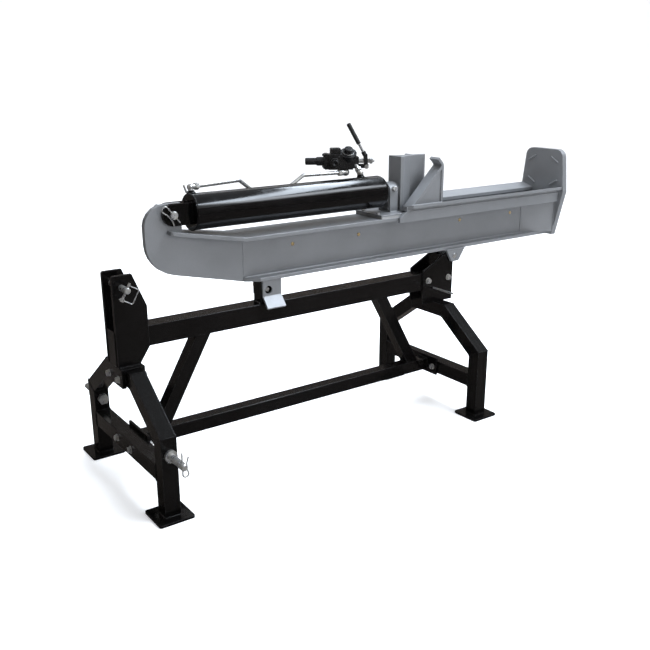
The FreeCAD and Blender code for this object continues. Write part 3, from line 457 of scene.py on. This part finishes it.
# ---------------------------------------------------------------- welds on the beam and the ram
def beam_welds():
    web, lower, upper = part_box("beam_web"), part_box("bottom_flange"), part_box("top_flange")
    bars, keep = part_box("guide_bars"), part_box("keeper_plates")
    lugs, latch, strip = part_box("pivot_lugs"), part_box("latch_plate"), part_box("strippers")
    y, x0, x1 = web[1].y, web[0].x, web[1].x
    flange_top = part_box("wear_pad")[0].z
    long_runs = [[(x0, -y, web[1].z), (x1, -y, web[1].z)]]
    root = [[(x0 + 2 * MM, -y, web[0].z), (x1, -y, web[0].z)]]
    welds("weld_web_root", both(root), 4.6 * MM, "beam", "silver_paint", pitch=6.5 * MM)
    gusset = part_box("end_gussets")
    ends = [[(gusset[0].x, -y, gusset[0].z + 4 * MM), (gusset[0].x, -y, gusset[1].z - 4 * MM)],
            [(x1, gusset[0].y, gusset[0].z + 4 * MM), (x1, gusset[0].y, gusset[1].z - 4 * MM)]]
    welds("weld_gusset_ends", both(ends), 3.4 * MM, "beam", "silver_paint", pitch=5.0 * MM)
    long_runs.append([(x1, -y, web[0].z), (x1, -y, web[1].z)])
    long_runs.append([(bars[0].x + 20 * MM, -upper[1].y, web[1].z), (x1, -upper[1].y, web[1].z)])
    under = keep[0].z + 4 * MM
    long_runs.append([(keep[0].x + 14 * MM, -bars[1].y, under), (x1, -bars[1].y, under)])
    long_runs.append([(x1, -upper[1].y + 14 * MM, flange_top), (x1, 0, flange_top)])
    long_runs.append([(x1, -lower[1].y, lower[0].z), (x1, 0, lower[0].z)])
    welds("weld_beam_long_runs", both(long_runs), 2.8 * MM, "beam", "silver_paint")

    short = []
    short += both([[(lugs[0].x, -lugs[1].y, lower[0].z), (lugs[1].x, -lugs[1].y, lower[0].z)]])
    latch_y = latch[0].y + LATCH_LIP
    short.append([(latch[0].x, latch_y, lower[0].z), (latch[1].x, latch_y, lower[0].z)])
    slope = (keep[1].z - STRIPPER_SEAT_Z) / (keep[1].y - KEEPER_INNER_Y)
    for side_y in (KEEPER_INNER_Y, -strip[0].y):
        z = STRIPPER_SEAT_Z + slope * (side_y - KEEPER_INNER_Y)
        short += both([[(strip[0].x, -side_y, z), (strip[1].x - 4 * MM, -side_y, z)]])
    welds("weld_lugs_latch_strippers", short, 3.0 * MM, "beam", "silver_paint")
    seam = [[(x0, -y, web[0].z), (x0, -y, web[1].z)]]
    welds("weld_tongue_seam", both(seam), 1.1 * MM, "beam", "silver_paint")


def ram_welds():
    wedge, slide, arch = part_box("wedge"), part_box("slide_plate"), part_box("rod_arch")
    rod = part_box("piston_rod")
    z, back = slide[1].z, wedge[0].x
    w, blade = wedge[1].y, 10 * MM
    side = [(back, 0, z), (back, -w, z), (back + 12 * MM, -w, z), (back + 66 * MM, -blade, z),
            (wedge[1].x - 15 * MM, -blade, z)]
    foot = [[(arch[0].x, -arch[1].y, z), (arch[1].x, -arch[1].y, z)]]
    welds("weld_wedge_and_arch", both([side] + foot), 3.0 * MM, "ram", "silver_paint")
    axis_z, radius = (rod[0].z + rod[1].z) / 2, rod[1].y
    ring = upright_ring(back, axis_z, radius + MM, 48)
    welds("weld_rod_to_wedge", [ring], 2.6 * MM, "ram", "silver_paint")


# ---------------------------------------------------------------- cylinder details
def cylinder_details():
    barrel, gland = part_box("cylinder_barrel"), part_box("rod_gland")
    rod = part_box("piston_rod")
    radius = gland[1].y
    axis_z = (rod[0].z + rod[1].z) / 2
    ring = upright_ring(barrel[0].x, axis_z, radius, 64)
    welds("weld_cylinder_base", [ring], 2.2 * MM, "beam", "cylinder_black", pitch=3.0 * MM)

    seal = [(0.0, rod[1].y + 0.25 * MM), (0.0, rod[1].y + 5 * MM), (1.6 * MM, rod[1].y + 4.2 * MM),
            (2.6 * MM, rod[1].y + 2.0 * MM), (2.6 * MM, rod[1].y + 0.25 * MM)]
    turned("rod_wiper_seal", [((gland[1].x - 0.2 * MM, 0, axis_z), (1, 0, 0))], seal, "beam",
           "grip_rubber", sides=64)
    way = Vector((0, math.sin(PORT_LEAN), math.cos(PORT_LEAN)))
    spots = []
    for x in (barrel[0].x + BASE_PORT_IN, barrel[1].x - GLAND_PORT_IN):
        spots.append((Vector((x, 0, axis_z)) + way * (radius - 1.0 * MM), way))
    turned("weld_port_bosses", spots, [(0.0, 9 * MM), (0.0, 15.5 * MM), (2.2 * MM, 14.2 * MM),
                                       (4.4 * MM, 12.3 * MM), (4.4 * MM, 9 * MM)], "beam",
           "cylinder_black", sides=48)


# ---------------------------------------------------------------- valve and web details
def joint_place(name):
    return Vector(next(joint["pos_m"] for joint in frame["joints"] if joint["name"] == name))


def valve_details():
    """Cap screws, inlet plug, relief cap band and lever pin ring, placed from the lever's pivot."""
    along = Vector((math.cos(VALVE_TURN), math.sin(VALVE_TURN), 0))
    side = Vector((-math.sin(VALVE_TURN), math.cos(VALVE_TURN), 0))
    pivot = joint_place("lever_swing")

    def valve_place(x, y, z):
        """A point given along, across and above the valve's spool axis."""
        return pivot + along * (x - LEVER_ALONG) + side * y + Vector((0, 0, z + LEVER_DROP))

    screw = [(-1 * MM, 0.2 * MM), (-1 * MM, 4.2 * MM), (4.6 * MM, 4.2 * MM), (5.2 * MM, 3.7 * MM),
             (5.2 * MM, 2.4 * MM), (2.4 * MM, 2.2 * MM), (2.4 * MM, 0.2 * MM)]
    flange, pitch = -43 * MM, 20.5 * MM
    corners = [(valve_place(flange, y, z), -along) for y in (-pitch, pitch) for z in (-pitch, pitch)]
    turned("detent_cap_screws", corners, screw, "beam", "valve_black", sides=24)
    plug = [(-1 * MM, 0.2 * MM), (-1 * MM, 12.5 * MM), (3.2 * MM, 12.5 * MM), (4.2 * MM, 11.5 * MM),
            (4.2 * MM, 5.6 * MM), (1.2 * MM, 5.2 * MM), (1.2 * MM, 0.2 * MM)]
    turned("inlet_plug", [(valve_place(-8 * MM, -44 * MM, -4 * MM), -side)], plug, "beam", "valve_black")
    band = ring_profile(20.0 * MM, 21.2 * MM, 3.0 * MM, 0.5 * MM)
    cap_way = side * -0.5 + Vector((0, 0, 0.866))
    cap_foot, band_height = valve_place(42 * MM, -2 * MM, 8 * MM), 27.5 * MM
    turned("relief_cap_band", [(cap_foot + cap_way.normalized() * band_height, cap_way)], band, "beam",
           "zinc_plate", sides=56)
    clip = ring_profile(4.6 * MM, 7.4 * MM, 1.2 * MM, 0.2 * MM)
    turned("lever_pin_ring", [(valve_place(LEVER_ALONG, 13.4 * MM, -LEVER_DROP), side)], clip,
           "valve_lever", "zinc_plate", sides=32)


def web_plugs():
    """Brass plugs in the four cross holes of the web, on both faces."""
    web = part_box("beam_web")
    domed = [(-2 * MM, 0.2 * MM), (-2 * MM, 5.2 * MM), (0.0, 6.6 * MM), (0.9 * MM, 6.4 * MM),
             (2.0 * MM, 4.4 * MM), (2.5 * MM, 2.0 * MM), (2.6 * MM, 0.2 * MM)]
    spots = [((x * MM + ROW_SHIFT, side * web[1].y, WEB_HOLE_Z), (0, side, 0))
             for x in WEB_HOLES_X for side in (-1, 1)]
    plugs = turned("web_plugs", spots, domed, "beam", "zinc_plate", sides=28)
    plugs.data.materials[0] = plated("brass_plug_finish", (0.70, 0.52, 0.27), (0.78, 0.62, 0.36), 0.25, 0.2)


# ---------------------------------------------------------------- studio
def circle(radius, z, sides):
    """Points of a level circle round the origin."""
    turns = [2 * math.pi * k / sides for k in range(sides)]
    return [(radius * math.cos(turn), radius * math.sin(turn), z) for turn in turns]


def dish():
    """Pale floor that rises into a round backdrop far from the object on every side."""
    flat, bend, wall, sides = 7.0, 5.0, 6.0, 96
    rows = [(0.02, 0.0), (flat, 0.0)]
    rows += [(flat + bend * math.sin(a), bend * (1 - math.cos(a)))
             for a in (math.pi / 2 * i / 12 for i in range(1, 13))]
    rows.append((flat + bend, bend + wall))
    verts = [(0.0, 0.0, 0.0)]
    for radius, z in rows:
        verts += circle(radius, z, sides)
    faces = [(0, 1 + k, 1 + (k + 1) % sides) for k in range(sides)]
    for r in range(len(rows) - 1):
        a, b = 1 + r * sides, 1 + (r + 1) * sides
        faces += [(a + k, b + k, b + (k + 1) % sides, a + (k + 1) % sides) for k in range(sides)]
    mesh = bpy.data.meshes.new("studio_floor")
    mesh.from_pydata(verts, [], faces)
    mesh.polygons.foreach_set("use_smooth", [True] * len(mesh.polygons))
    paper = Finish("studio_paper")
    tone = paper.blended(paper.noise(0.6, 2.0), (0.84, 0.84, 0.84), (0.86, 0.86, 0.86))
    paper.set(colour=tone, roughness=0.9)
    paper.shader.inputs["Emission Color"].default_value = (1.0, 1.0, 1.0, 1.0)
    paper.shader.inputs["Emission Strength"].default_value = 0.30
    mesh.materials.append(paper.material)
    floor = bpy.data.objects.new("studio_floor", mesh)
    bpy.context.scene.collection.objects.link(floor)
    floor.location.z = -0.5 * MM


def soft_light(name, at, target, size, power, tint):
    """Rectangular softbox that faces a target."""
    light = bpy.data.lights.new(name, "AREA")
    light.shape, light.size, light.size_y = "RECTANGLE", size[0], size[1]
    light.energy, light.color = power, tint
    lamp = bpy.data.objects.new(name, light)
    lamp.location = at
    lamp.rotation_euler = (Vector(target) - Vector(at)).to_track_quat("-Z", "Y").to_euler()
    bpy.context.scene.collection.objects.link(lamp)
    return lamp


def flag():
    """Dark brown card on the hitch side that keeps light off the end faces; the camera doesn't see it."""
    x, lean, half, low, high = -2.6, 0.5, 3.2, 0.02, 3.0
    corners = [(x, -half, low), (x, half, low), (x + lean, half, high), (x + lean, -half, high)]
    card = hung_card("studio_flag", corners, [(0, 1, 2, 3)])
    card.visible_camera = False


def dark_surround():
    """The dim workshop that gloss paint mirrors: an open drum round the object, only in reflections."""
    radius, height, sides = 3.5, 2.5, 64
    verts = circle(radius, 0.0, sides) + circle(radius, height, sides)
    faces = [tuple(range(sides))]
    faces += [(k, (k + 1) % sides, sides + (k + 1) % sides, sides + k) for k in range(sides)]
    drum = hung_card("studio_surround", verts, faces)
    drum.visible_camera = drum.visible_diffuse = drum.visible_shadow = False
    drum.visible_transmission = drum.visible_volume_scatter = False


def hung_card(name, verts, faces):
    """A felt-covered panel of the studio."""
    mesh = bpy.data.meshes.new(name)
    mesh.from_pydata(verts, [], faces)
    felt = Finish(name + "_felt")
    tone = felt.blended(felt.noise(3.0), (0.040, 0.032, 0.026), (0.075, 0.062, 0.052))
    felt.set(colour=tone, roughness=0.95)
    mesh.materials.append(felt.material)
    card = bpy.data.objects.new(name, mesh)
    bpy.context.scene.collection.objects.link(card)
    return card


def studio():
    dish()
    flag()
    dark_surround()
    cool, cooler, near_white = (0.86, 0.92, 1.0), (0.80, 0.89, 1.0), (0.95, 0.97, 1.0)
    soft_light("strip_softbox", (2.0, -0.55, 4.2), (0.2, -0.3, 0.8), (5.0, 0.6), 190, cooler)
    soft_light("lip_softbox", (2.0, -2.4, 3.3), (-0.2, 0, 0.6), (1.6, 0.9), 45, cool)
    overhead = soft_light("overhead_softbox", (0.8, 0.4, 4.4), (0.5, 0.2, 0), (5.0, 2.8), 430, cool)
    overhead.visible_glossy = False
    soft_light("front_softbox", (0.9, -4.6, 1.9), (0.2, 0, 0.6), (3.0, 1.6), 60, near_white)
    world = bpy.data.worlds.new("studio_world")
    world.use_nodes = True
    sky = world.node_tree.nodes["Background"]
    sky.inputs[0].default_value = (0.93, 0.96, 1.0, 1.0)
    sky.inputs[1].default_value = 0.45
    bpy.context.scene.world = world
    bpy.context.scene.view_settings.view_transform = "Standard"
    bpy.context.scene.view_settings.look = "None"


def camera():
    eye = bpy.data.cameras.new("camera")
    eye.lens, eye.sensor_width = 44.93, 36.0
    eye.shift_x, eye.shift_y = -0.0035, 0.0026
    eye.dof.use_dof = False
    eye.clip_end = 60.0
    holder = bpy.data.objects.new("camera", eye)
    holder.location = (-1.7979, -2.2874, 1.2739)
    holder.rotation_euler = (math.radians(72.38), math.radians(0.08), math.radians(-35.635))
    bpy.context.scene.collection.objects.link(holder)
    bpy.context.scene.camera = holder


camera()
studio()
repaint_nodes()
stand_welds()
rail_welds()
beam_welds()
ram_welds()
cylinder_details()
valve_details()
web_plugs()

bpy.context.view_layer.update()
